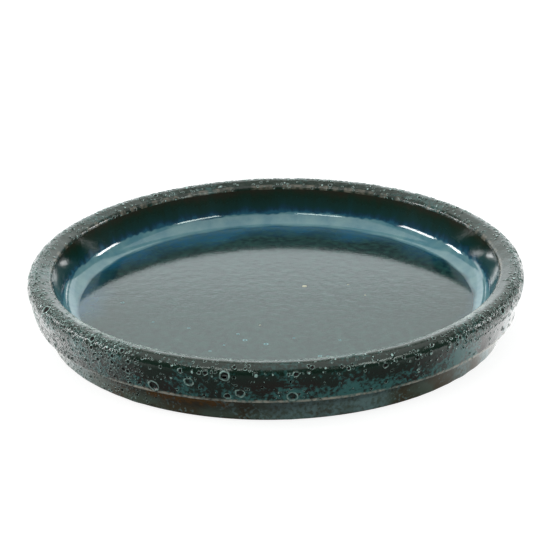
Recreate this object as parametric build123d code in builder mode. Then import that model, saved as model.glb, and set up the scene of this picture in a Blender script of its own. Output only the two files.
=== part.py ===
from build123d import *
from math import cos, radians, sin, tan
import os

# A round plant saucer of glazed stoneware, thrown in one piece on a wheel.
# The clay dish and each coat of glaze on it are separate solids that meet face to face.
# Millimetres. +Z is up, and the origin is the middle of the foot, on the ground.

# Overall sizes, over the glaze
saucer_diameter = 260
saucer_height = 34.5
floor_height = 13

# Rim: a round shoulder outside up to the crest, and a crown that falls from there to the lip
shoulder_radius = 6.1
rim_width = 12.6
crown_fall = 2
wall_lean = 21

# Outer band, the step under it and the base
band_edge_height = 13.5
band_lean = 13
step_depth = 7
base_lean = 5

# Underside: a flat foot ring round a turned recess
foot_ring_width = 15
recess_depth = 3.5
recess_slope = 2.5

# Glaze: its thickness, the bevel of the clay that makes room for more of it at the shoulder, the bevel
# where it breaks thin over the lip, the bare margin above the ground, and how far it climbs the wall
# and spreads over the floor where it pooled in the hollow between them
glaze_thickness = 1
rim_bevel = 8.2
lip_bevel = 1.2
bare_margin = 1
pool_climb = 5.6
pool_spread = 4

# How far a sketch runs on past the ground and the axis before it is cut there
overrun = 5


def along(start, lean, height):
    """The point at this height on a face through start that leans outwards as it rises"""
    return (start[0] + (height - start[1]) * tan(radians(lean)), height)


# Points of the half section over the glaze, as (radius, height). The shoulder's arc runs up out of the
# band, touches the full radius and ends at the crest, at the full height
shoulder_centre = (saucer_diameter / 2 - shoulder_radius, saucer_height - shoulder_radius)
shoulder_foot = (
    shoulder_centre[0] + shoulder_radius * cos(radians(band_lean)),
    shoulder_centre[1] - shoulder_radius * sin(radians(band_lean)),
)
crest = (shoulder_centre[0], saucer_height)
lip = (saucer_diameter / 2 - rim_width, saucer_height - crown_fall)
lip_edge = along(lip, wall_lean, lip[1] - lip_bevel * cos(radians(wall_lean)))
wall_foot = along(lip, wall_lean, floor_height)
band_edge = along(shoulder_foot, band_lean, band_edge_height)
step_root = (band_edge[0] - step_depth, band_edge_height)

# Where the band and the crown would meet, if the shoulder weren't round
crown_slope = crown_fall / (crest[0] - lip[0])
rise = saucer_height - shoulder_foot[1] + crown_slope * (shoulder_foot[0] - crest[0])
corner_height = shoulder_foot[1] + rise / (1 - crown_slope * tan(radians(band_lean)))
rim_corner = along(shoulder_foot, band_lean, corner_height)

# The outline from the lip in over the floor, and back under the foot to the band
below_rim = [
    lip,
    wall_foot,
    (-overrun, floor_height),
    (-overrun, -overrun),
    along(step_root, base_lean, -overrun),
    step_root,
    band_edge,
]

with BuildSketch(Plane.XZ) as glazed_section:
    with BuildLine():
        shoulder = CenterArc(shoulder_centre, shoulder_radius, -band_lean, 90 + band_lean)
        Polyline(shoulder @ 1, *below_rim, shoulder @ 0)
    make_face()
    chamfer(glazed_section.vertices().sort_by_distance(lip)[0], lip_bevel)

# The clay has a bevel in place of the shoulder and lies one coat deeper. It is cut at the ground and at
# the axis, and the recess is turned out of its underside
with BuildSketch(Plane.XZ) as clay_section:
    with BuildLine():
        Polyline(rim_corner, *below_rim, close=True)
    make_face()
    chamfer(clay_section.vertices().sort_by_distance(rim_corner)[0], rim_bevel)
    offset(amount=-glaze_thickness, kind=Kind.INTERSECTION)
    Rectangle(saucer_diameter, saucer_height, align=(Align.MIN, Align.MIN), mode=Mode.INTERSECT)
    foot_edge = clay_section.vertices().group_by(Axis.Y)[0].sort_by(Axis.X)[-1].X
    ring_edge = foot_edge - foot_ring_width
    with BuildLine():
        Polyline(
            (0, 0), (ring_edge, 0), (ring_edge - recess_slope, recess_depth), (0, recess_depth), close=True
        )
    make_face(mode=Mode.SUBTRACT)

with BuildPart() as clay_body:
    add(clay_section.sketch)
    revolve(axis=Axis.Z)

# What lies between the two outlines is glaze
with BuildSketch(Plane.XZ) as glaze_section:
    add(glazed_section.sketch_local)
    add(clay_section.sketch_local, mode=Mode.SUBTRACT)


def clay_under(corner):
    """The corner of the clay that lies under this corner of the glaze"""
    under = clay_section.vertices().sort_by_distance(corner)[0]
    return (under.X, under.Y)


def midpoint(start, end):
    return ((start[0] + end[0]) / 2, (start[1] + end[1]) / 2)


def seam(corner):
    """A seam's ends at a corner of the glaze: the clay's corner under it, and a point as far outside"""
    under = clay_under(corner)
    return under, (2 * corner[0] - under[0], 2 * corner[1] - under[1])


# Glaze ran down the wall, pooled in the hollow at its foot and fused halfway into the coat there
pool_top = along(wall_foot, wall_lean, floor_height + pool_climb)
pool_foot = (wall_foot[0] - pool_spread, floor_height)
with BuildSketch(Plane.XZ) as pool_section:
    with BuildLine():
        Polyline(pool_foot, midpoint(wall_foot, clay_under(wall_foot)), pool_top, close=True)
    make_face()

with BuildPart() as pooled_glaze_ring:
    add(pool_section.sketch)
    revolve(axis=Axis.Z)

# One coat ends and the next starts below the lip and at the band's edge. Inside the clay, each coat's zone
# is closed over points in the middle of the floor, the wall, the rim and the foot
lip_under, lip_outside = seam(lip_edge)
edge_under, edge_outside = seam(band_edge)
floor_core = midpoint((0, floor_height), (0, recess_depth))
wall_core = (midpoint(wall_foot, step_root)[0], floor_core[1])
rim_core = midpoint(step_root, (step_root[0], lip[1]))
foot_core = (midpoint((ring_edge, 0), (foot_edge, 0))[0], bare_margin)

# The smooth coat over the floor and the inner wall, up to the lip
with BuildPart() as liner_glaze:
    with BuildSketch(Plane.XZ):
        with BuildLine():
            Polyline(floor_core, wall_core, lip_under, lip_outside, (0, lip_outside[1]), close=True)
        make_face()
        add(glaze_section.sketch_local, mode=Mode.INTERSECT)
        add(pool_section.sketch_local, mode=Mode.SUBTRACT)
    revolve(axis=Axis.Z)

# The thick reactive coat over the rim and down the band
with BuildPart() as crater_glaze:
    with BuildSketch(Plane.XZ):
        with BuildLine():
            Polyline(
                lip_under,
                lip_outside,
                (lip_outside[0], saucer_height + overrun),
                (saucer_diameter, saucer_height + overrun),
                (saucer_diameter, edge_outside[1]),
                edge_outside,
                edge_under,
                close=True,
            )
        make_face()
        add(glaze_section.sketch_local, mode=Mode.INTERSECT)
    revolve(axis=Axis.Z)

# The thinner, smoother coat under the band and down the base, short of the ground
with BuildPart() as base_glaze:
    with BuildSketch(Plane.XZ):
        with BuildLine():
            Polyline(
                edge_under, edge_outside, (edge_outside[0], bare_margin), foot_core, rim_core, close=True
            )
        make_face()
        add(glaze_section.sketch_local, mode=Mode.INTERSECT)
    revolve(axis=Axis.Z)

clay_body.part.label = "clay_body"
liner_glaze.part.label = "liner_glaze"
crater_glaze.part.label = "crater_glaze"
base_glaze.part.label = "base_glaze"
pooled_glaze_ring.part.label = "pooled_glaze_ring"

os.makedirs("parts", exist_ok=True)
export_step(clay_body.part, "parts/clay_body.step")
export_step(liner_glaze.part, "parts/liner_glaze.step")
export_step(crater_glaze.part, "parts/crater_glaze.step")
export_step(base_glaze.part, "parts/base_glaze.step")
export_step(pooled_glaze_ring.part, "parts/pooled_glaze_ring.step")
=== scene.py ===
from math import cos, pi, radians, sin, tan

import bpy
import numpy as np
from mathutils import Matrix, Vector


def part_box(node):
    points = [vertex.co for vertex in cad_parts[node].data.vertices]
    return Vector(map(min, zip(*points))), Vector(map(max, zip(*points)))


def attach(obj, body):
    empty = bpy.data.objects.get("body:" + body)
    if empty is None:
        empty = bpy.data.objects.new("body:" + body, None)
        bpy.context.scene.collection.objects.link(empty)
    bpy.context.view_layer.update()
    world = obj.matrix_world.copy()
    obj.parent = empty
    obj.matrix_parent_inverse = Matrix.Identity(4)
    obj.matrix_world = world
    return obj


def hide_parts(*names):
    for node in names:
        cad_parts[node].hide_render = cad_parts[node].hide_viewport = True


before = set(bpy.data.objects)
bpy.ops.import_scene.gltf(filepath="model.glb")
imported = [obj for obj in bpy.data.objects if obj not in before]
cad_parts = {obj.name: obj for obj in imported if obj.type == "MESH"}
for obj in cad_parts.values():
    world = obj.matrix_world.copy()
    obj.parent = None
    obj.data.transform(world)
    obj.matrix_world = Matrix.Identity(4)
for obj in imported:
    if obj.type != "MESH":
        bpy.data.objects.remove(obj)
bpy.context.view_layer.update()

# The dish: red-brown stoneware, thrown and turned on a wheel, then fired. Glaze hides all of it but the
# foot ring, the recess inside it and a narrow margin. Sizes of meshes are millimetres, and their points
# are (distance from the axis, height). Materials, lamps and the camera are in metres.
millimetre = 0.001
clay_lip = (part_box("liner_glaze")[1].x / millimetre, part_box("liner_glaze")[1].z / millimetre)
clay_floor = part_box("liner_glaze")[0].z / millimetre
clay_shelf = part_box("base_glaze")[1].z / millimetre
clay_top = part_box("clay_body")[1].z / millimetre
clay_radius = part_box("clay_body")[1].x / millimetre
wall_lean = 21
band_lean = 13
base_lean = 5
bevel_width = 5.1
bevel_drop = 4.9
shelf_depth = 7.1
foot_ring_width = 15
foot_round = 0.8
recess_depth = 3.5
recess_slope = 2.5
recess_round = 1.2
hidden_round = 0.3
clay_spacing = 1.0
turning_pitch = 3.1
turning_depth = 0.06
clay_columns = 320


def lean(start, degrees, height):
    """The point at this height on the line through start that leans outwards as it rises"""
    return (start[0] + (height - start[1]) * tan(radians(degrees)), height)


def rounded(corners, radii, spacing):
    """Points about this far apart along the line through the corners. Each inner corner is replaced by an
    arc of its radius that touches both runs: it starts radius x tan(half the turn) short of the corner,
    and its points are that start turned about the arc's centre"""
    corners = [np.array(corner, float) for corner in corners]
    pieces = []
    start = corners[0]
    for before, corner, after, radius in zip(corners, corners[1:], corners[2:], radii):
        along = (corner - before) / np.linalg.norm(corner - before)
        onward = (after - corner) / np.linalg.norm(after - corner)
        turn = np.arctan2(along[0] * onward[1] - along[1] * onward[0], along @ onward)
        first = corner - radius * abs(tan(turn / 2)) * along
        spoke = -radius * np.sign(turn) * np.array([-along[1], along[0]])
        steps = max(round(abs(turn) * radius / spacing), 1)
        angle = np.linspace(0, turn, steps + 1)[:, None]
        arc = first - spoke + spoke * np.cos(angle) + np.array([-spoke[1], spoke[0]]) * np.sin(angle)
        run = max(round(np.linalg.norm(first - start) / spacing), 1)
        pieces.append(start + (first - start) * np.linspace(0, 1, run, endpoint=False)[:, None])
        pieces.append(arc[:-1])
        start = arc[-1]
    run = max(round(np.linalg.norm(corners[-1] - start) / spacing), 1)
    pieces.append(start + (corners[-1] - start) * np.linspace(0, 1, run + 1)[:, None])
    return np.concatenate(pieces)


def around(section, columns):
    """A section's points repeated at each column: arrays of radius and height with a row per point"""
    return np.repeat(section[:, :1], columns, axis=1), np.repeat(section[:, 1:], columns, axis=1)


def turned_piece(name, radius, height, normals=None, poles=False, marks={}):
    """A closed mesh turned about the axis. Point (i, j) is at radius[i, j] and height[i, j], and at the
    angle j / columns of a full turn. The section runs with the material on its left. Its last row joins
    its first, or with poles each end closes in a fan to a point on the axis. Marks are values per point"""
    rows, columns = radius.shape
    angle = np.arange(columns) * 2 * pi / columns
    points = np.stack([radius * np.cos(angle), radius * np.sin(angle), height], axis=2).reshape(-1, 3)
    index = np.arange(rows * columns).reshape(rows, columns)
    beside = np.roll(index, -1, axis=1)
    above, above_beside = np.roll(index, -1, axis=0), np.roll(beside, -1, axis=0)
    faces = np.stack([index, beside, above_beside, above], axis=2)
    faces = faces[: rows - 1] if poles else faces
    faces = faces.reshape(-1, 4).tolist()
    if poles:
        ends = [[0, 0, height[0].mean()], [0, 0, height[-1].mean()]]
        points = np.concatenate([points, ends])
        first, last = rows * columns, rows * columns + 1
        faces += np.stack([np.full(columns, first), beside[0], index[0]], axis=1).tolist()
        faces += np.stack([index[-1], beside[-1], np.full(columns, last)], axis=1).tolist()
    mesh = bpy.data.meshes.new(name)
    mesh.from_pydata(points * millimetre, [], faces)
    for mark, values in marks.items():
        ends = values[[0, -1], 0] if poles else []
        values = np.concatenate([values.reshape(-1), ends])
        mesh.attributes.new(mark, "FLOAT", "POINT").data.foreach_set("value", values.astype(np.float32))
    mesh.shade_smooth()
    if normals is None:
        mesh.set_sharp_from_angle(angle=radians(40))
    else:
        normals = normals.reshape(-1, 3)
        if poles:
            normals = np.concatenate([normals, [[0, 0, -1], [0, 0, 1]]])
        mesh.normals_split_custom_set_from_vertices(normals)
    piece = bpy.data.objects.new(name, mesh)
    bpy.context.scene.collection.objects.link(piece)
    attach(piece, "root")
    return piece


def linear(colour):
    """An sRGB hex colour such as "#aabbcc" as the linear colour that a shader takes"""
    channels = [int(colour[k : k + 2], 16) / 255 for k in (1, 3, 5)]
    return [c / 12.92 if c <= 0.04045 else ((c + 0.055) / 1.055) ** 2.4 for c in channels] + [1]


def add_node(tree, kind, inputs={}, stops=(), **fields):
    """Adds a node. Fields are its own settings. Inputs go by name or number, each a value or the socket
    that is linked to it. Stops are the (place, colour or grey) pairs of a colour ramp"""
    node = tree.nodes.new(kind)
    for field, value in fields.items():
        setattr(node, field, value)
    for key, value in inputs.items():
        if isinstance(value, bpy.types.NodeSocket):
            tree.links.new(value, node.inputs[key])
        else:
            node.inputs[key].default_value = value
    for number, (place, colour) in enumerate(stops):
        elements = node.color_ramp.elements
        element = elements[number] if number < 2 else elements.new(place)
        element.position = place
        element.color = linear(colour) if isinstance(colour, str) else [colour, colour, colour, 1]
    return node


def new_material(name):
    """An empty node material, its tree, and its output node"""
    material = bpy.data.materials.new(name)
    material.use_nodes = True
    tree = material.node_tree
    tree.nodes.clear()
    return material, tree, add_node(tree, "ShaderNodeOutputMaterial")


clay_shoulder = (clay_radius, clay_top - bevel_drop)
clay_crest = (clay_radius - bevel_width, clay_top)
clay_edge = lean(clay_shoulder, band_lean, clay_shelf)
shelf_root = (clay_edge[0] - shelf_depth, clay_shelf)
foot_edge = lean(shelf_root, base_lean, 0)
ring_edge = (foot_edge[0] - foot_ring_width, 0)
wall_foot = lean(clay_lip, wall_lean, clay_floor)
clay_section = rounded(
    [
        (turning_pitch, recess_depth),
        (ring_edge[0] - recess_slope, recess_depth),
        ring_edge,
        foot_edge,
        shelf_root,
        clay_edge,
        clay_shoulder,
        clay_crest,
        clay_lip,
        wall_foot,
        (turning_pitch, clay_floor),
    ],
    [recess_round, foot_round, foot_round] + [hidden_round] * 6,
    clay_spacing,
)
radius, height = around(clay_section, clay_columns)
turning = turning_depth * (1 - np.cos(2 * pi * radius / turning_pitch))
height = height + np.where((height > recess_depth / 2) & (height < clay_floor / 2), turning, 0)
turned_dish = turned_piece("turned_clay_dish", radius, height, poles=True)
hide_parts("clay_body")

# Fired stoneware clay, bare: a dry, matt, warm brown that clouds over about 17 mm, with darker iron specks
# about 2.4 mm apart and sand of about 0.7 mm, which looks rough
clay_material, tree, output = new_material("fired_stoneware_clay")
place = add_node(tree, "ShaderNodeTexCoord").outputs["Object"]
cloud = add_node(tree, "ShaderNodeTexNoise", {"Vector": place, "Scale": 60, "Detail": 4})
tone = add_node(
    tree,
    "ShaderNodeValToRGB",
    {"Fac": cloud.outputs["Fac"]},
    stops=[(0.3, "#8a6350"), (0.7, "#ad8a78")],
)
specks = add_node(tree, "ShaderNodeTexVoronoi", {"Vector": place, "Scale": 420})
speck_mask = add_node(
    tree,
    "ShaderNodeValToRGB",
    {"Fac": specks.outputs["Distance"]},
    stops=[(0.12, 0.75), (0.2, 0.0)],
)
clay_colour = add_node(
    tree,
    "ShaderNodeMix",
    {0: speck_mask.outputs["Color"], 6: tone.outputs["Color"], 7: linear("#3a241a")},
    data_type="RGBA",
)
sand = add_node(tree, "ShaderNodeTexNoise", {"Vector": place, "Scale": 1400, "Detail": 3})
sand_bump = add_node(
    tree, "ShaderNodeBump", {"Height": sand.outputs["Fac"], "Strength": 0.4, "Distance": 0.0004}
)
clay_shader = add_node(
    tree,
    "ShaderNodeBsdfPrincipled",
    {"Base Color": clay_colour.outputs[2], "Roughness": 0.85, "Normal": sand_bump.outputs["Normal"]},
)
tree.links.new(clay_shader.outputs["BSDF"], output.inputs["Surface"])
turned_dish.data.materials.append(clay_material)

# The liner: a smooth dark green and blue gloss glaze over the floor and the inner wall. It has all but
# levelled the rings that the potter's fingers left in the floor, which only ripple the mirror a little.
rim_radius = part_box("crater_glaze")[1].x / millimetre
rim_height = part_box("crater_glaze")[1].z / millimetre
glaze_thickness = 1.0
floor_level = clay_floor + glaze_thickness
lip_edge_inset = 13.0
lip_edge_drop = 3.1
liner_drop = 3.9
lip_edge = (rim_radius - lip_edge_inset, rim_height - lip_edge_drop)
liner_top = lean(lip_edge, wall_lean, rim_height - liner_drop)
liner_columns = 640
liner_spacing = 0.95
liner_round = 3.0
liner_back_round = 0.5
liner_back_spacing = 12
floor_start = 1.5
throwing_pitch = 6.3
throwing_depth = 0.0018
floor_sag = 0.1
ring_margin = 2
ring_fade = 6


def surface_normals(radius, height):
    """Normals of a turned grid: the step to the next column crossed with the step to the next row"""
    columns = radius.shape[1]
    angle = np.arange(columns) * 2 * pi / columns
    grid = np.stack([radius * np.cos(angle), radius * np.sin(angle), height], axis=2)
    across = np.roll(grid, -1, axis=1) - np.roll(grid, 1, axis=1)
    along = np.gradient(grid, axis=0)
    normal = np.cross(across, along)
    return normal / np.maximum(np.linalg.norm(normal, axis=2, keepdims=True), 1e-12)


glaze_foot = lean(liner_top, wall_lean, floor_level)
liner_outside = rounded(
    [liner_top, glaze_foot, (floor_start, floor_level)], [liner_round], liner_spacing
)
liner_inside = rounded(
    [(floor_start, clay_floor), wall_foot, clay_lip], [liner_back_round], liner_back_spacing
)
radius, height = around(liner_outside, liner_columns)
inner_radius, inner_height = around(liner_inside, liner_columns)
on_floor = np.clip((glaze_foot[0] - ring_margin - radius) / ring_fade, 0, 1)
rings = np.sin(2 * pi * radius / throwing_pitch) * throwing_depth
sag = floor_sag * (1 - (radius / glaze_foot[0]) ** 2)
height = height + on_floor * (rings - throwing_depth - sag)
outside_normals = surface_normals(radius, height)
inside_normals = surface_normals(inner_radius, inner_height)
liner = turned_piece(
    "poured_liner_glaze",
    np.concatenate([inner_radius, radius]),
    np.concatenate([inner_height, height]),
    normals=np.concatenate([inside_normals, outside_normals]),
    poles=True,
)
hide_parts("liner_glaze")


def liner_colours(tree, place):
    """The liner's colour: brown-black under the lip, then green-black, a blue fringe where the glaze gets
    thick low on the wall, and a dark teal floor, bluer near the wall behind. Its streaks are about 5 mm
    wide, the blue drifts over about 36 mm, and the floor's mottle is about 3 mm across"""
    stretched = add_node(
        tree, "ShaderNodeVectorMath", {0: place, 1: (1, 1, 0.3)}, operation="MULTIPLY"
    ).outputs["Vector"]
    streaks = add_node(
        tree, "ShaderNodeTexNoise", {"Vector": stretched, "Scale": 190, "Detail": 5, "Roughness": 0.6}
    )
    waver = add_node(
        tree,
        "ShaderNodeMath",
        {0: streaks.outputs["Fac"], 1: 0.009, 2: -0.0045},
        operation="MULTIPLY_ADD",
    )
    height_of = add_node(tree, "ShaderNodeSeparateXYZ", {"Vector": place}).outputs["Z"]
    level = add_node(
        tree, "ShaderNodeMath", {0: height_of, 1: waver.outputs["Value"]}, operation="ADD"
    )
    climb = add_node(
        tree,
        "ShaderNodeMapRange",
        {"Value": level.outputs["Value"], "From Min": 0.013, "From Max": 0.031},
    )
    wall = add_node(
        tree,
        "ShaderNodeValToRGB",
        {"Fac": climb.outputs["Result"]},
        stops=[
            (0.0, "#1b434a"),
            (0.3, "#24566b"),
            (0.4, "#17394a"),
            (0.5, "#0f3434"),
            (0.8, "#10291f"),
            (1.0, "#25241a"),
        ],
    )
    flat = add_node(tree, "ShaderNodeVectorMath", {0: place, 1: (1, 1, 0)}, operation="MULTIPLY")
    out = add_node(
        tree, "ShaderNodeVectorMath", {0: flat.outputs["Vector"]}, operation="LENGTH"
    ).outputs["Value"]
    drift = add_node(tree, "ShaderNodeTexNoise", {"Vector": place, "Scale": 28, "Detail": 5})
    toward_blue = add_node(
        tree, "ShaderNodeVectorMath", {0: place, 1: (-0.04, 0.14, 0)}, operation="DOT_PRODUCT"
    )
    blue_reach = add_node(
        tree, "ShaderNodeMath", {0: toward_blue.outputs["Value"], 1: out}, operation="ADD"
    )
    blue_line = add_node(
        tree,
        "ShaderNodeMath",
        {0: drift.outputs["Fac"], 1: 0.05, 2: blue_reach.outputs["Value"]},
        operation="MULTIPLY_ADD",
    )
    blue_share = add_node(
        tree,
        "ShaderNodeMapRange",
        {"Value": blue_line.outputs["Value"], "From Min": 0.122, "From Max": 0.14},
    )
    floor_tone = add_node(
        tree,
        "ShaderNodeMix",
        {0: blue_share.outputs["Result"], 6: linear("#09272a"), 7: linear("#1a526e")},
        data_type="RGBA",
    )
    mottle = add_node(tree, "ShaderNodeTexNoise", {"Vector": place, "Scale": 330, "Detail": 8})
    mottle_share = add_node(
        tree,
        "ShaderNodeMapRange",
        {"Value": mottle.outputs["Fac"], "From Min": 0.38, "From Max": 0.68, "To Max": 0.6},
    )
    floor_tone = add_node(
        tree,
        "ShaderNodeMix",
        {0: mottle_share.outputs["Result"], 6: floor_tone.outputs[2], 7: linear("#2b534d")},
        data_type="RGBA",
    )
    on_wall = add_node(
        tree, "ShaderNodeMapRange", {"Value": height_of, "From Min": 0.0131, "From Max": 0.0146}
    )
    return add_node(
        tree,
        "ShaderNodeMix",
        {0: on_wall.outputs["Result"], 6: floor_tone.outputs[2], 7: wall.outputs["Color"]},
        data_type="RGBA",
    )


def orange_peel(tree, place, swell_height):
    """The faint unevenness of a glaze's skin, as a normal: fine, about 1.6 mm from top to top, over swells
    of about 6 mm. A pixel is about half a millimetre, so a finer one wouldn't show"""
    swells = add_node(tree, "ShaderNodeTexNoise", {"Vector": place, "Scale": 170, "Detail": 4})
    swell_bump = add_node(
        tree, "ShaderNodeBump", {"Height": swells.outputs["Fac"], "Strength": 1, "Distance": swell_height}
    )
    skin = add_node(tree, "ShaderNodeTexNoise", {"Vector": place, "Scale": 620, "Detail": 2})
    return add_node(
        tree,
        "ShaderNodeBump",
        {
            "Height": skin.outputs["Fac"],
            "Strength": 1,
            "Distance": 0.00002,
            "Normal": swell_bump.outputs["Normal"],
        },
    ).outputs["Normal"]


# Glossy stoneware glaze: liquid-smooth and nearly black-green where thin. It mirrors what is round it at a
# low angle, and the mirror is drawn out along the radius, as it would be over fine grooves from throwing
liner_material, tree, output = new_material("gloss_liner_glaze")
place = add_node(tree, "ShaderNodeTexCoord").outputs["Object"]
liner_colour = liner_colours(tree, place)
round_axis = add_node(tree, "ShaderNodeTangent", direction_type="RADIAL", axis="Z")
liner_shader = add_node(
    tree,
    "ShaderNodeBsdfPrincipled",
    {
        "Base Color": liner_colour.outputs[2],
        "Roughness": 0.09,
        "IOR": 1.55,
        "Anisotropic": 0.5,
        "Anisotropic Rotation": 0.25,
        "Tangent": round_axis.outputs["Tangent"],
        "Normal": orange_peel(tree, place, swell_height=0.00004),
    },
)
tree.links.new(liner_shader.outputs["BSDF"], output.inputs["Surface"])
liner.data.materials.append(liner_material)

# The pool: liner glaze that ran down the wall and set in the hollow round the floor, deep enough there to
# turn milky blue. Its surface is a meniscus that fades into the wall and the floor.
random = np.random.default_rng(11)
pool_round = 10.5
pool_lift = 0.05
pool_climb = 1.5
pool_spread = 2.5
pool_end_inset = 2
pool_corner_inset = 0.3
pool_top_inset = 0.4
pool_top_drop = 1
pool_columns = 960
pool_reach = pool_round * tan(radians(90 - wall_lean) / 2)
pool_corner = (glaze_foot[0] - pool_lift, floor_level + pool_lift)
pool_top = lean(pool_corner, wall_lean, floor_level + pool_reach + pool_climb)
pool_top = (pool_top[0] + 2 * pool_lift, pool_top[1])
pool_end = (glaze_foot[0] - pool_reach - pool_spread, floor_level - 2 * pool_lift)
pool_depth = 0.5
pool_back = [
    (pool_end[0] + pool_end_inset, clay_floor + pool_depth),
    (wall_foot[0] - pool_corner_inset, clay_floor + pool_depth),
    (pool_top[0] + pool_top_inset, pool_top[1] - pool_top_drop),
]
pool_spacing = 0.35
milk_top = 18.3
milk_top_fade = 0.35
milk_end = 104.6
milk_end_fade = (-1.4, 1.6)


def smooth_step(low, high, value):
    """0 at low, 1 at high, and 3t2 - 2t3 between. High may be under low"""
    share = np.clip((value - low) / (high - low), 0, 1)
    return share * share * (3 - 2 * share)


def waves(angle, count, longest, random):
    """An uneven line round the circle: a sum of this many sine waves of whole numbers of turns"""
    turns = random.integers(1, longest, count)[:, None]
    start = random.uniform(0, 2 * pi, count)[:, None]
    return np.sin(turns * angle[None] + start).sum(axis=0) / np.sqrt(count)


pool_outside = rounded([pool_top, pool_corner, pool_end], [pool_round], pool_spacing)
radius, height = around(pool_outside, pool_columns)
back_radius, back_height = around(np.array(pool_back), pool_columns)
angle = np.arange(pool_columns) * 2 * pi / pool_columns
drips = milk_top + 0.45 * waves(angle, 12, 40, random) + 0.25 * waves(angle, 12, 160, random)
spread = milk_end + 0.7 * waves(angle, 10, 30, random)
milk = smooth_step(milk_top_fade, -milk_top_fade, height - drips)
milk = milk * smooth_step(*milk_end_fade, radius - spread)
pool = turned_piece(
    "milky_pool_ring",
    np.concatenate([radius, back_radius]),
    np.concatenate([height, back_height]),
    normals=np.concatenate(
        [surface_normals(radius, height), surface_normals(back_radius, back_height)]
    ),
    marks={"milk": np.concatenate([milk, np.zeros_like(back_radius)])},
)
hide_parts("pooled_glaze_ring")

# Pooled glaze: the same gloss, milky pale blue where it is deep, with soft clouds of about 8 mm
pool_material, tree, output = new_material("milky_pooled_glaze")
place = add_node(tree, "ShaderNodeTexCoord").outputs["Object"]
liner_colour = liner_colours(tree, place)
milk_mark = add_node(tree, "ShaderNodeAttribute", attribute_name="milk")
clouds = add_node(tree, "ShaderNodeTexNoise", {"Vector": place, "Scale": 120, "Detail": 4})
milk_tone = add_node(
    tree,
    "ShaderNodeValToRGB",
    {"Fac": clouds.outputs["Fac"]},
    stops=[(0.35, "#4f7c88"), (0.65, "#678d92")],
)
pool_colour = add_node(
    tree,
    "ShaderNodeMix",
    {0: milk_mark.outputs["Fac"], 6: liner_colour.outputs[2], 7: milk_tone.outputs["Color"]},
    data_type="RGBA",
)
pool_shader = add_node(
    tree,
    "ShaderNodeBsdfPrincipled",
    {
        "Base Color": pool_colour.outputs[2],
        "Roughness": 0.07,
        "IOR": 1.55,
        "Normal": orange_peel(tree, place, swell_height=0.00001),
    },
)
tree.links.new(pool_shader.outputs["BSDF"], output.inputs["Surface"])
pool.data.materials.append(pool_material)

# A few pinholes and specks in the glaze of the floor: small bubbles that burst late and half healed, and
# grains of sand from the clay. Each stands about a tenth of a millimetre from the floor.
marks_around = 14
# Where each is, to the right and to the back, and its radius. The grains come last
floor_marks = np.array(
    [
        (-16.2, -50.7, 1.1), (-5.5, -56.2, 1.1), (-19.8, -43.1, 0.7), (-26.8, -56.3, 0.6),
        (-45.1, -34.2, 0.7), (-33.8, -63.2, 0.7), (32.0, -53.2, 0.6), (21.4, -72.1, 0.9),
        (25.4, -72.3, 0.6), (8.7, -49.5, 0.6), (-81.0, 0.6, 0.9), (-63.9, -25.6, 0.6),
        (15.3, 17.5, 1.3), (38.6, 18.3, 0.5), (47.1, 3.6, 0.5), (-8.5, -32.4, 0.5),
    ]
)
# Sections from the outside in, as (share of the radius, height)
pinhole_profile = np.array(
    [(1.3, -0.25), (1.25, -0.03), (1.0, 0.1), (0.8, 0.09), (0.5, -0.05), (0.2, -0.08)]
)
grain_profile = np.array(
    [(1.1, -0.25), (1.05, -0.02), (0.9, 0.06), (0.7, 0.1), (0.4, 0.13), (0.2, 0.14)]
)
grains_from = 12
turn = np.arange(marks_around) * 2 * pi / marks_around
round_turn = np.stack([np.cos(turn), np.sin(turn)], axis=1)
is_grain = (np.arange(len(floor_marks)) >= grains_from)[:, None, None]
profile = np.where(is_grain, grain_profile, pinhole_profile)
ring_places = (
    floor_marks[:, None, None, :2]
    + profile[:, :, None, :1] * floor_marks[:, None, None, 2:] * round_turn[None, None]
)
ring_heights = floor_level - floor_sag + profile[:, :, None, 1:] + 0 * ring_places[..., :1]
grid = np.concatenate([ring_places, ring_heights], axis=3)
caps = np.stack([grid[:, 0].mean(axis=1), grid[:, -1].mean(axis=1)], axis=1)
count, rings, steps = grid.shape[:3]
points = np.concatenate([grid.reshape(count, -1, 3), caps], axis=1)
index = np.arange(rings * steps).reshape(rings, steps)
beside = np.roll(index, -1, axis=1)
walls = np.stack([index[:-1], beside[:-1], beside[1:], index[1:]], axis=2).reshape(-1, 4)
under = np.stack([np.full(steps, rings * steps), beside[0], index[0]], axis=1)
over = np.stack([index[-1], beside[-1], np.full(steps, rings * steps + 1)], axis=1)
faces = []
for number in range(count):
    shift = number * points.shape[1]
    faces += (walls + shift).tolist() + (under + shift).tolist() + (over + shift).tolist()
mesh = bpy.data.meshes.new("pinholes_and_grains")
mesh.from_pydata(points.reshape(-1, 3) * millimetre, [], faces)
paleness = np.repeat(np.where(is_grain[:, 0], 1.0, 0.0), points.shape[1], axis=1)
grain_values = mesh.attributes.new("grain", "FLOAT", "POINT").data
grain_values.foreach_set("value", paleness.ravel().astype(np.float32))
mesh.shade_smooth()
pinholes = bpy.data.objects.new("pinholes_and_grains", mesh)
bpy.context.scene.collection.objects.link(pinholes)
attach(pinholes, "root")
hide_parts("liner_glaze")

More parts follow.
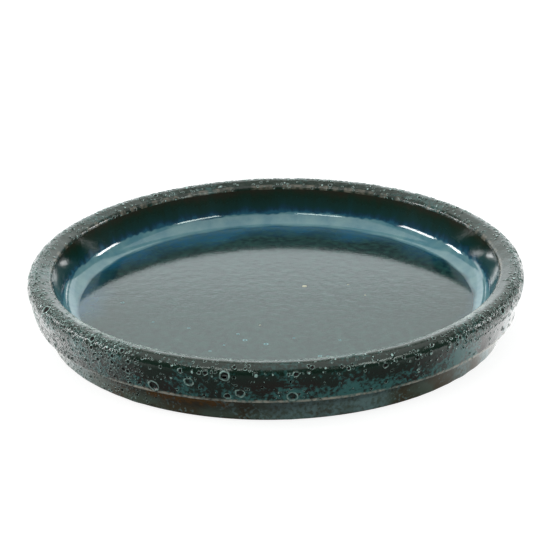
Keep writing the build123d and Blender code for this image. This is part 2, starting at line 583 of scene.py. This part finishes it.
# Glaze over a pinhole's rim is thin and pale teal, and a grain of sand shows sandy white through it
mark_material, tree, output = new_material("pinholed_gloss_glaze")
grain_mark = add_node(tree, "ShaderNodeAttribute", attribute_name="grain")
mark_tone = add_node(
    tree,
    "ShaderNodeMix",
    {0: grain_mark.outputs["Fac"], 6: linear("#6a9a9f"), 7: linear("#a9a68c")},
    data_type="RGBA",
)
mark_shader = add_node(
    tree, "ShaderNodeBsdfPrincipled", {"Base Color": mark_tone.outputs[2], "Roughness": 0.15, "IOR": 1.55}
)
tree.links.new(mark_shader.outputs["BSDF"], output.inputs["Surface"])
pinholes.data.materials.append(mark_material)

# The coat on rim and band: a reactive glaze, laid on thick. Gas from the clay boiled up through it in the
# firing and left bubbles up to 6 mm wide: whole ones are domes, and burst ones a raised ring and a pit.
bubble_room = 0.35
coat_spacing = 0.36
coat_columns = 2200
shoulder_round = 5.9
crown_lean = 17
lip_round = 2.5
lip_inset = 12.5
edge_round = 0.45
edge_inset = 2.0
edge_lift = 0.1
edge_height = clay_shelf - glaze_thickness
band_middle_radius = 127
coat_girth = 2 * pi * band_middle_radius
bubble_top = rim_height - bubble_room
shoulder_centre = (rim_radius - bubble_room - shoulder_round, bubble_top - shoulder_round)
half_turn = radians(90 + band_lean + crown_lean) / 2
corner_reach = shoulder_round / cos(half_turn)
corner_angle = half_turn - radians(band_lean)
rim_corner = (
    shoulder_centre[0] + corner_reach * cos(corner_angle),
    shoulder_centre[1] + corner_reach * sin(corner_angle),
)
lip_radius = rim_radius - lip_inset
lip_corner = (lip_radius, rim_corner[1] - (rim_corner[0] - lip_radius) * tan(radians(crown_lean)))
band_edge = lean(rim_corner, band_lean, edge_height + edge_lift)
coat_inner = band_edge[0] - edge_inset
coat_end = lean(lip_corner, wall_lean, liner_top[1])
coat_outside = rounded(
    [(coat_inner, band_edge[1]), band_edge, rim_corner, lip_corner, coat_end],
    [edge_round, shoulder_round, lip_round],
    coat_spacing,
)
coat_run = np.concatenate([[0], np.cumsum(np.hypot(*np.diff(coat_outside, axis=0).T))]) - edge_inset
band_top = 13.7
crown_start = band_top + shoulder_round * radians(90 + band_lean + crown_lean)
shoulder_lead = 1.6
crown_lead = 2
ring_share = 0.2
thinnest_ring = 0.17
height_share = 0.3
tallest_bubble = 0.3
pit_share = 0.42
covering_mark = 0.15


def bubble_lift(distance, size, burst):
    """The height and the marks of bubbles, from the distance to the middle and the radius in mm. A burst
    one has a ring, e to the power of minus the square of (distance - radius) / ring width, and a bowl
    inside it. A whole one is a dome, the square root of 1 - (distance / radius) squared"""
    rim = np.maximum(ring_share * size, thinnest_ring)
    ring = burst * np.exp(-(((distance - size) / rim) ** 2))
    pit = burst * smooth_step(size - 0.5 * rim, 0.45 * size, distance)
    dome = (1 - burst) * np.sqrt(np.clip(1 - (distance / size) ** 2, 0, 1))
    tallest = np.minimum(height_share * size, tallest_bubble)
    lift = tallest * (ring + dome) - pit_share * size * pit
    return lift, ring, pit, dome


def scattered_bubbles(across, down, girth, cell, sizes, burst_share, amount, crowd, random):
    """Bubbles over a strip that joins up round its girth. Each cell of a square net holds one bubble of
    its own place, radius and kind, if its random number is under the amount times the crowd there. A
    point takes the highest or deepest of the bubbles in the nine cells round it"""
    columns = round(girth / cell)
    size = girth / columns
    rows = int((down.max() - down.min()) / size) + 4
    base = down.min() - size
    middle = random.uniform(0.22, 0.78, (2, columns, rows))
    radii = sizes[0] + (sizes[1] - sizes[0]) * random.random((columns, rows)) ** 2
    burst = (random.random((columns, rows)) < burst_share).astype(float)
    cell_angle = (np.arange(columns)[:, None] + 0.5) * 2 * pi / columns
    cell_down = base + (np.arange(rows)[None] + 0.5) * size
    there = random.random((columns, rows)) < amount * crowd(cell_angle, cell_down)
    column = np.floor(across / size).astype(int)
    row = np.floor((down - base) / size).astype(int)
    best = np.zeros((4,) + across.shape)
    for side in (-1, 0, 1):
        for level in (-1, 0, 1):
            c = (column + side) % columns
            r = np.clip(row + level, 0, rows - 1)
            right = (column + side + middle[0][c, r]) * size - across
            below = base + (r + middle[1][c, r]) * size - down
            shape = np.stack(bubble_lift(np.hypot(right, below), radii[c, r], burst[c, r]))
            best = np.where(there[c, r] & (np.abs(shape[0]) > np.abs(best[0])), shape, best)
    return best


def placed_bubbles(across, down, girth, places):
    """Single bubbles at places of their own: degrees from the front, height above the band's edge,
    radius, and 1 if burst"""
    best = np.zeros((4,) + across.shape)
    for degrees_round, run, size, burst in places:
        offset = across - (degrees_round - 90) % 360 / 360 * girth
        offset = (offset + girth / 2) % girth - girth / 2
        shape = np.stack(bubble_lift(np.hypot(offset, down - run), size, burst))
        best = np.where(np.abs(shape[0]) > np.abs(best[0]), shape, best)
    return best


def overlaid(layers):
    """Layers of bubbles as one: where a mark of a later layer shows, it covers the layers before it"""
    top = layers[0]
    for layer in layers[1:]:
        top = np.where(layer[1:].max(axis=0) > covering_mark, layer, top)
    return top


def from_front(angle):
    """Degrees round from the front, negative to the left"""
    return (np.degrees(angle) + 270) % 360 - 180


def crowded(angle, run):
    """How thickly the bubbles stand: most on the left and behind, few in front, some on the right
    shoulder"""
    side = from_front(angle)
    left = smooth_step(-24, -38, side)
    right = smooth_step(30, 52, side)
    on_shoulder = smooth_step(band_top - 4, band_top, run) * smooth_step(crown_start, crown_start - 3, run)
    behind = smooth_step(85, 125, side)
    crowd = np.maximum(left, np.maximum(right * (0.12 + 0.75 * on_shoulder), behind * 0.9))
    crowd = np.maximum(crowd, 0.10 + 0.12 * on_shoulder)
    return crowd * (1 - 0.75 * smooth_step(crown_start - 3, crown_start + 0.5, run))


# Bubbles in front that can be told apart, and layers of scattered ones. A layer is its cell, the least and
# greatest radius, the share that burst, and how much of the crowd it holds
single_bubbles = [
    (-28.2, 4.0, 2.7, 1), (-19.4, 10.1, 2.2, 1), (-11.0, 3.7, 1.6, 1), (-8.2, 5.7, 2.2, 1),
    (3.1, 3.6, 2.5, 1), (-11.3, 15.4, 2.3, 1), (-4.5, 16.3, 1.7, 0), (23.6, 15.3, 1.2, 1),
    (31.5, 15.2, 1.1, 1), (32.1, 8.0, 1.3, 0), (-21.2, 15.8, 1.2, 1), (-18.4, 16.0, 1.0, 0),
    (-16.9, 16.0, 0.9, 1), (-15.5, 16.2, 1.2, 1), (-14.0, 15.0, 1.0, 0), (-23.4, 10.9, 1.3, 0),
    (-25.9, 9.0, 0.8, 0), (-25.7, 16.1, 0.9, 1), (-23.1, 17.8, 0.8, 0), (-1.0, 16.7, 0.8, 0),
    (3.9, 16.6, 1.3, 1), (6.6, 16.6, 1.1, 0), (9.7, 16.7, 0.7, 0), (18.7, 17.0, 0.9, 0),
    (25.7, 16.6, 0.7, 0), (35.1, 15.3, 1.2, 0), (37.2, 10.5, 0.9, 0), (40.4, 15.2, 1.1, 0),
    (42.8, 14.8, 0.9, 1), (45.8, 13.5, 1.0, 1), (50.4, 11.7, 1.0, 1), (44.0, 17.5, 1.0, 1),
]
coat_layers = [
    (2.0, (0.42, 0.85), 0.78, 1.0),
    (3.3, (0.6, 1.25), 0.65, 0.5),
    (8.5, (1.2, 2.4), 0.8, 0.16),
]
across, down = np.meshgrid(np.arange(coat_columns) * coat_girth / coat_columns, coat_run, indexing="xy")
# The net is bent by a tenth of a millimetre or so, so that the bubbles' outlines come out uneven
turned = 2 * pi * across / coat_girth
across = across + 0.13 * np.sin(150 * turned + 1.3 * down) + 0.09 * np.sin(310 * turned - 2.1 * down)
down = down + 0.12 * np.sin(170 * turned - 1.1 * down) + 0.09 * np.sin(290 * turned + 2.3 * down)
layers = [
    scattered_bubbles(across, down, coat_girth, *layer, crowded, random) for layer in coat_layers
]
layers.append(placed_bubbles(across, down, coat_girth, single_bubbles))
lift, ring_mark, pit_mark, dome_mark = overlaid(layers)
angle = np.arange(coat_columns) * 2 * pi / coat_columns
uneven = 0.05 * waves(angle, 14, 60, random)[None, :]
wander = waves(angle, 10, 90, random)[None, :] * np.sin(down / 1.9) * 0.04
down = coat_run[:, None] + 0 * down
ends = smooth_step(0, 1.0, down) * smooth_step(0, 1.2, coat_run[-1] - down)
deepest_pit = 0.85
highest_top = bubble_room - 0.02
lift = np.clip(lift + uneven + wander, -deepest_pit, highest_top) * ends
radius, height = around(coat_outside, coat_columns)
outward = surface_normals(radius, height)[:, 0, [0, 2]][:, None, :]
outward = outward / np.linalg.norm(outward, axis=2, keepdims=True)
radius = radius + lift * outward[..., 0]
height = height + lift * outward[..., 1]
coat_normals = surface_normals(radius, height)
# Marks for the material. Each goes from 0 to 1, and is broken up by waves round the rim
edge_waves = np.clip(0.85 + 0.3 * waves(angle, 12, 90, random), 0, 1)
edge_mark = np.exp(-(((down - 0.45) / 1.25) ** 2)) * edge_waves
side = from_front(angle)[None, :]
in_front = smooth_step(75, 50, np.abs(side))
patchy = np.clip(0.5 + 1.1 * waves(angle, 18, 120, random), 0, 1)[None, :]
# Pale lines along the lip's inner edge, only behind and only in front: partly the glaze thinning pale over
# the edge, partly a painted highlight
thin_lip_and_highlight_behind_mark = smooth_step(crown_start + 2.6, crown_start + 4.4, down) * (1 - in_front) * patchy
thin_lip_and_highlight_in_front_mark = smooth_step(crown_start - 1.2, crown_start + 1.5, down) * in_front * (0.7 + 0.3 * patchy)
thin_lip_and_highlight_in_front_mark = thin_lip_and_highlight_in_front_mark * np.clip(0.7 + 0.16 * waves(angle, 24, 420, random), 0, 1)[None, :]
cloud_mark = smooth_step(-20, -4, side) * smooth_step(60, 45, side) * smooth_step(11.5, 7, down)
edge_mark = edge_mark * (1 - 0.6 * smooth_step(-28, -45, side) * smooth_step(-150, -120, side))
coat_marks = {
    "bubble_ring": ring_mark,
    "bubble_pit": pit_mark,
    "bubble_dome": dome_mark,
    "band_edge": edge_mark,
    "thin_lip_and_highlight_behind": thin_lip_and_highlight_behind_mark,
    "thin_lip_and_highlight_in_front": thin_lip_and_highlight_in_front_mark,
    "cloud": cloud_mark,
}
shoulder_row = int(np.searchsorted(coat_run, band_top - shoulder_lead))
crown_row = int(np.searchsorted(coat_run, crown_start - crown_lead))
coat_parts = {
    "bubbled_band_glaze": (
        slice(0, shoulder_row + 1),
        [clay_shoulder, clay_edge, (coat_inner, clay_shelf)],
    ),
    "bubbled_shoulder_glaze": (slice(shoulder_row, crown_row + 1), [clay_crest, clay_shoulder]),
    "bubbled_crown_glaze": (slice(crown_row, None), [clay_lip, clay_crest]),
}
coat_pieces = []
for name, (part, back) in coat_parts.items():
    back_radius, back_height = around(np.array(back), coat_columns)
    blank = np.zeros_like(back_radius)
    coat_pieces.append(
        turned_piece(
            name,
            np.concatenate([radius[part], back_radius]),
            np.concatenate([height[part], back_height]),
            normals=np.concatenate([coat_normals[part], surface_normals(back_radius, back_height)]),
            marks={
                mark: np.concatenate([values[part], blank]) for mark, values in coat_marks.items()
            },
        )
    )
    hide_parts("crater_glaze")


def bubbled_glaze(name, ground, brown, crown, splotch, splotch_amount):
    """The reactive glaze's material: a ground that is mottled with brown low down and has its own tone on
    the crown, splotches, and over them the marks of the mesh. A mark that a mesh lacks reads as 0. The
    brown clouds are about 13 mm across, the splotches 2 mm in patches of 20 mm, and the grain 1.5 mm"""
    material, tree, output = new_material(name)
    place = add_node(tree, "ShaderNodeTexCoord").outputs["Object"]
    height_of = add_node(tree, "ShaderNodeSeparateXYZ", {"Vector": place}).outputs["Z"]
    cloud = add_node(tree, "ShaderNodeTexNoise", {"Vector": place, "Scale": 75, "Detail": 5})
    brown_share = add_node(
        tree, "ShaderNodeValToRGB", {"Fac": cloud.outputs["Fac"]}, stops=[(0.42, 0.0), (0.58, 1.0)]
    )
    low_share = add_node(
        tree, "ShaderNodeMapRange", {"Value": height_of, "From Min": 0.0285, "From Max": 0.024}
    )
    both = add_node(
        tree,
        "ShaderNodeMath",
        {0: brown_share.outputs["Color"], 1: low_share.outputs["Result"]},
        operation="MULTIPLY",
    )
    tone = add_node(
        tree,
        "ShaderNodeMix",
        {0: both.outputs["Value"], 6: linear(ground), 7: linear(brown)},
        data_type="RGBA",
    ).outputs[2]
    crown_share = add_node(
        tree, "ShaderNodeMapRange", {"Value": height_of, "From Min": 0.0305, "From Max": 0.0335}
    )
    tone = add_node(
        tree,
        "ShaderNodeMix",
        {0: crown_share.outputs["Result"], 6: tone, 7: linear(crown)},
        data_type="RGBA",
    ).outputs[2]
    spots = add_node(tree, "ShaderNodeTexNoise", {"Vector": place, "Scale": 560, "Detail": 5})
    spot_patch = add_node(tree, "ShaderNodeTexNoise", {"Vector": place, "Scale": 48, "Detail": 2})
    spot_sum = add_node(
        tree,
        "ShaderNodeMath",
        {0: spots.outputs["Fac"], 1: spot_patch.outputs["Fac"]},
        operation="ADD",
    )
    clouded = add_node(tree, "ShaderNodeAttribute", attribute_name="cloud")
    spot_share = add_node(
        tree,
        "ShaderNodeMath",
        {0: clouded.outputs["Fac"], 1: 0.14, 2: spot_sum.outputs["Value"]},
        operation="MULTIPLY_ADD",
    )
    spot_mask = add_node(
        tree,
        "ShaderNodeMapRange",
        {
            "Value": spot_share.outputs["Value"],
            "From Min": 1.06,
            "From Max": 1.26,
            "To Max": splotch_amount,
        },
    )
    below_crown = add_node(
        tree,
        "ShaderNodeMapRange",
        {"Value": height_of, "From Min": 0.031, "From Max": 0.027, "To Min": 0.3},
    )
    spot_here = add_node(
        tree,
        "ShaderNodeMath",
        {0: spot_mask.outputs["Result"], 1: below_crown.outputs["Result"]},
        operation="MULTIPLY",
    )
    tone = add_node(
        tree,
        "ShaderNodeMix",
        {0: spot_here.outputs["Value"], 6: tone, 7: linear(splotch)},
        data_type="RGBA",
    ).outputs[2]
    fine_noise = add_node(tree, "ShaderNodeTexNoise", {"Vector": place, "Scale": 520, "Detail": 2})
    breaks = add_node(
        tree,
        "ShaderNodeMapRange",
        {"Value": fine_noise.outputs["Fac"], "From Min": 0.36, "From Max": 0.6, "To Min": 0.25},
    )
    # Each mark, the value from which it shows, how strongly, and its colour
    for mark, start, strength, colour in (
        ("milk", 0.1, 0.9, "#84a2a5"),
        ("rust", 0.1, 1.7, "#7d5518"),
        # The lip's pale lines: glaze thinned over the edge, with a painted highlight along it
        ("thin_lip_and_highlight_behind", 0.2, 0.75, "#6f6a5e"),
        ("thin_lip_and_highlight_in_front", 0.1, 1.0, "#8c9a90"),
        # Whole bubbles: their flanks are painted dark as shade, and their tops painted pale teal as a
        # highlight
        ("bubble_dome", 0.1, 1.4, "#0b1613"),
        ("bubble_dome", 0.75, 1.6, "#a3c4be"),
        ("bubble_ring", 0.4, 1.2, "#a3c2bb"),
        ("bubble_pit", 0.12, 2.2, "#140b09"),
        ("band_edge", 0.2, 1.4, "#b9b6aa"),
    ):
        value = add_node(tree, "ShaderNodeAttribute", attribute_name=mark)
        share = add_node(
            tree,
            "ShaderNodeMapRange",
            {"Value": value.outputs["Fac"], "From Min": start, "From Max": 0.9, "To Max": strength},
        )
        broken = add_node(
            tree,
            "ShaderNodeMath",
            {0: share.outputs["Result"], 1: breaks.outputs["Result"]},
            operation="MULTIPLY",
            use_clamp=True,
        )
        tone = add_node(
            tree,
            "ShaderNodeMix",
            {0: broken.outputs["Value"], 6: tone, 7: linear(colour)},
            data_type="RGBA",
        ).outputs[2]
    bowl = add_node(tree, "ShaderNodeAttribute", attribute_name="bubble_pit")
    dullness = add_node(
        tree, "ShaderNodeMapRange", {"Value": bowl.outputs["Fac"], "To Min": 0.22, "To Max": 0.85}
    )
    grain = add_node(tree, "ShaderNodeTexNoise", {"Vector": place, "Scale": 650, "Detail": 3})
    grain_bump = add_node(
        tree, "ShaderNodeBump", {"Height": grain.outputs["Fac"], "Strength": 1, "Distance": 0.00009}
    )
    shader = add_node(
        tree,
        "ShaderNodeBsdfPrincipled",
        {
            "Base Color": tone,
            "Roughness": dullness.outputs["Result"],
            "IOR": 1.5,
            "Normal": grain_bump.outputs["Normal"],
        },
    )
    tree.links.new(shader.outputs["BSDF"], output.inputs["Surface"])
    return material


# Reactive stoneware glaze: mottled dark green and brown gloss with teal clouds. Whole bubbles have painted
# shade, green-black, on their flanks and a painted highlight, pale teal, on their tops; burst ones have a
# pale ring and a dark red-brown pit, where the glaze is thin over the clay. The lip's inner edge is pale
# where the glaze thins over it, with a painted highlight along it, behind and in front
coat_material = bubbled_glaze("reactive_crater_glaze", "#0d251b", "#1d1911", "#1b2920", "#427c7b", 0.9)
for piece in coat_pieces:
    piece.data.materials.append(coat_material)

# The base's coat: the same glaze, thinner, run off the band. It wets the step and the foot wall and stops
# in a soft edge a millimetre above the ground.
base_columns = 1800
base_spacing = 0.42
glaze_margin = 1.0
root_round = 1.6
margin_round = 0.45
base_middle_radius = 119
base_girth = 2 * pi * base_middle_radius
base_deepest_pit = 0.6
base_highest_top = 0.3
least_sway = -0.7
most_sway = 1.2
rust_level = 9.6
rust_width = 2.2
base_root = (shelf_root[0] + glaze_thickness / cos(radians(base_lean)), edge_height)
base_end = lean(base_root, base_lean, glaze_margin)
clay_end = lean(shelf_root, base_lean, glaze_margin)
base_outside = rounded(
    [clay_end, base_end, base_root, (coat_inner, edge_height + edge_lift)],
    [margin_round, root_round],
    base_spacing,
)
base_run = np.concatenate([[0], np.cumsum(np.hypot(*np.diff(base_outside, axis=0).T))])
# Its two layers of scattered bubbles, with the same values as the coat's
base_layers = [
    (1.8, (0.36, 0.75), 0.85, 1.5),
    (3.4, (0.6, 1.2), 0.8, 0.9),
]
base_across = np.arange(base_columns) * base_girth / base_columns
across, down = np.meshgrid(base_across, base_run, indexing="xy")


def base_crowd(angle, run):
    """The base has its bubbles on the left and behind"""
    side = from_front(angle)
    return 0.5 * np.maximum(smooth_step(-26, -40, side), smooth_step(100, 140, side)) + 0 * run


layers = [
    scattered_bubbles(across, down, base_girth, *layer, base_crowd, random) for layer in base_layers
]
lift, ring_mark, pit_mark, dome_mark = overlaid(layers)
radius, height = around(base_outside, base_columns)
angle = np.arange(base_columns) * 2 * pi / base_columns
outward = surface_normals(radius, height)[:, 0, [0, 2]][:, None, :]
outward = outward / np.linalg.norm(outward, axis=2, keepdims=True)
ends = smooth_step(1.0, 2.5, down) * smooth_step(0, 3, base_run[-1] - down)
lift = np.clip(lift + 0.06 * waves(angle, 12, 70, random), -base_deepest_pit, base_highest_top) * ends
radius = radius + lift * outward[..., 0]
sway = 0.2 * waves(angle, 9, 24, random) + 0.1 * waves(angle, 9, 70, random)
low = 1 - smooth_step(glaze_margin, glaze_margin + 4, height)
height = height + lift * outward[..., 1] + low * np.clip(sway, least_sway, most_sway)[None, :]
back_radius, back_height = around(np.array([(coat_inner, clay_shelf), shelf_root]), base_columns)
blank = np.zeros_like(back_radius)
side = from_front(angle)[None, :]
# Painted reflection of the bright floor: pale slate blue at the sides and behind. The patch in front is
# milky glaze
patches = 0.5 + 0.35 * waves(angle, 14, 40, random)
painted_reflection_at_sides = patches * smooth_step(34, 60, np.abs(side))
milk_waves = 0.75 + 0.2 * waves(angle, 14, 90, random)
milk_in_front = smooth_step(-9, 4, side) * smooth_step(29, 25, side) * milk_waves
milk_mark = np.clip(np.maximum(painted_reflection_at_sides, milk_in_front), 0, 1) + 0 * height
rust_waves = 0.7 * waves(angle, 12, 160, random)
rust_here = smooth_step(-34, -31, side) * smooth_step(-9, -16, side)
rust_mark = rust_here * np.exp(-(((height - rust_level - rust_waves) / rust_width) ** 2))
base_coat = turned_piece(
    "thin_base_glaze",
    np.concatenate([radius, back_radius]),
    np.concatenate([height, back_height]),
    normals=np.concatenate(
        [surface_normals(radius, height), surface_normals(back_radius, back_height)]
    ),
    marks={
        "bubble_ring": np.concatenate([ring_mark, blank]),
        "bubble_pit": np.concatenate([pit_mark, blank]),
        "bubble_dome": np.concatenate([dome_mark, blank]),
        "milk": np.concatenate([milk_mark, blank]),
        "rust": np.concatenate([rust_mark, blank]),
    },
)
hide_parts("base_glaze")

# Thin stoneware glaze: olive grey where the clay's brown shows through, milky slate blue where it is
# deeper, and pale slate blue at the sides and behind as a painted reflection of the bright floor. Its whole
# bubbles have the same painted shade and highlight as the band's
base_material = bubbled_glaze("thin_olive_glaze", "#5a675b", "#524a37", "#5a675b", "#86a5a6", 0.85)
base_coat.data.materials.append(base_material)

# The studio: a white floor, a soft overhead light, two broad lights behind, one above the other, and five
# narrow window lights round the dish, where the highlights in the pool put them. The camera looks down
# 23 degrees.
floor_size = 8.0
paper_glow = 0.85
mirrored_glow = 2.1
# How far back, from -1 in front to 1 behind, the mirrored glow starts and is full
glow_starts = -0.8
glow_full = -0.3
air_grey = 0.08
floor_mesh = bpy.data.meshes.new("studio_floor")
corner = floor_size / 2
floor_mesh.from_pydata(
    [(-corner, -corner, 0), (corner, -corner, 0), (corner, corner, 0), (-corner, corner, 0)],
    [],
    [(0, 1, 2, 3)],
)
studio_floor = bpy.data.objects.new("studio_floor", floor_mesh)
bpy.context.scene.collection.objects.link(studio_floor)

# White paper, matt, and white to the camera. What the glaze mirrors of it isn't plain: it glows about
# twice as bright as white at the sides and behind, and not at all in front, where only its lit grey is
# left, because the real band is bright at its sides and dark in front
floor_material, tree, output = new_material("white_paper")
paper = add_node(tree, "ShaderNodeBsdfDiffuse", {"Color": linear("#8c8c8c")})
path = add_node(tree, "ShaderNodeLightPath")
place = add_node(tree, "ShaderNodeTexCoord").outputs["Object"]
outward = add_node(tree, "ShaderNodeVectorMath", {0: place}, operation="NORMALIZE").outputs["Vector"]
forward = add_node(tree, "ShaderNodeSeparateXYZ", {"Vector": outward}).outputs["Y"]
sides = add_node(
    tree,
    "ShaderNodeMapRange",
    {"Value": forward, "From Min": glow_starts, "From Max": glow_full, "To Max": mirrored_glow},
)
bounced = add_node(
    tree,
    "ShaderNodeMath",
    {0: path.outputs["Is Glossy Ray"], 1: path.outputs["Is Transmission Ray"]},
    operation="MAXIMUM",
)
in_glaze = add_node(
    tree,
    "ShaderNodeMath",
    {0: bounced.outputs["Value"], 1: sides.outputs["Result"]},
    operation="MULTIPLY",
)
lift = add_node(
    tree,
    "ShaderNodeMath",
    {0: path.outputs["Is Camera Ray"], 1: paper_glow, 2: in_glaze.outputs["Value"]},
    operation="MULTIPLY_ADD",
)
white = add_node(tree, "ShaderNodeEmission", {"Strength": lift.outputs["Value"]})
both = add_node(tree, "ShaderNodeAddShader", {0: paper.outputs["BSDF"], 1: white.outputs["Emission"]})
tree.links.new(both.outputs["Shader"], output.inputs["Surface"])
floor_mesh.materials.append(floor_material)


def direction(azimuth, elevation):
    """A unit vector at this angle from +Y towards +X, and this angle above the ground"""
    turn, tilt = radians(azimuth), radians(elevation)
    return np.array([sin(turn) * cos(tilt), cos(turn) * cos(tilt), sin(tilt)])


def soft_light(name, azimuth, elevation, distance, width, height, brightness, colour="#ffffff"):
    """A rectangular lamp that faces the dish. Its power in watts is 4 x width x height x brightness"""
    lamp = bpy.data.lights.new(name, "AREA")
    lamp.shape = "RECTANGLE"
    lamp.size = width
    lamp.size_y = height
    lamp.energy = 4 * width * height * brightness
    lamp.color = linear(colour)[:3]
    light = bpy.data.objects.new(name, lamp)
    light.matrix_world = Matrix.Translation(direction(azimuth, elevation) * distance) @ (
        Matrix.Rotation(radians(-azimuth), 4, "Z") @ Matrix.Rotation(radians(elevation - 90), 4, "X")
    )
    bpy.context.scene.collection.objects.link(light)


soft_light("overhead_softbox", 180, 85, 1.5, 2.8, 2.0, 0.88)
soft_light("back_wall", 0, 11.8, 2.0, 3.0, 0.82, 1.55, "#f4fdff")
soft_light("upper_wall", 0, 36.2, 2.0, 3.0, 0.9, 1.1, "#f4fbf8")
soft_light("right_window", 71, 20, 1.6, 0.5, 0.2, 15)
soft_light("front_right_window", 133, 33, 1.6, 0.66, 0.2, 9, "#f2fff8")
soft_light("front_left_window", -150, 46, 1.6, 0.6, 0.15, 8, "#f2fff8")
soft_light("left_window", -89, 26, 1.6, 0.64, 0.24, 15)
soft_light("back_left_window", -61, 18, 1.6, 0.34, 0.2, 15)

world = bpy.data.worlds.new("studio_air")
world.use_nodes = True
world.node_tree.nodes["Background"].inputs["Color"].default_value = (air_grey, air_grey, air_grey, 1)
world.node_tree.nodes["Background"].inputs["Strength"].default_value = 1.0
bpy.context.scene.world = world

camera_tilt = 22.89
camera_roll = 1.24
camera_distance = 1.3
camera_lens = 161.2
aim = (0.0005, 0, 0.0262)
camera_data = bpy.data.cameras.new("camera")
camera_data.sensor_width = 36
camera_data.lens = camera_lens
camera = bpy.data.objects.new("camera", camera_data)
back = direction(180, camera_tilt) * camera_distance + np.array(aim)
camera.matrix_world = Matrix.Translation(back) @ (
    Matrix.Rotation(radians(90 - camera_tilt), 4, "X") @ Matrix.Rotation(radians(-camera_roll), 4, "Z")
)
bpy.context.scene.collection.objects.link(camera)
bpy.context.scene.camera = camera
bpy.context.scene.view_settings.view_transform = "Standard"
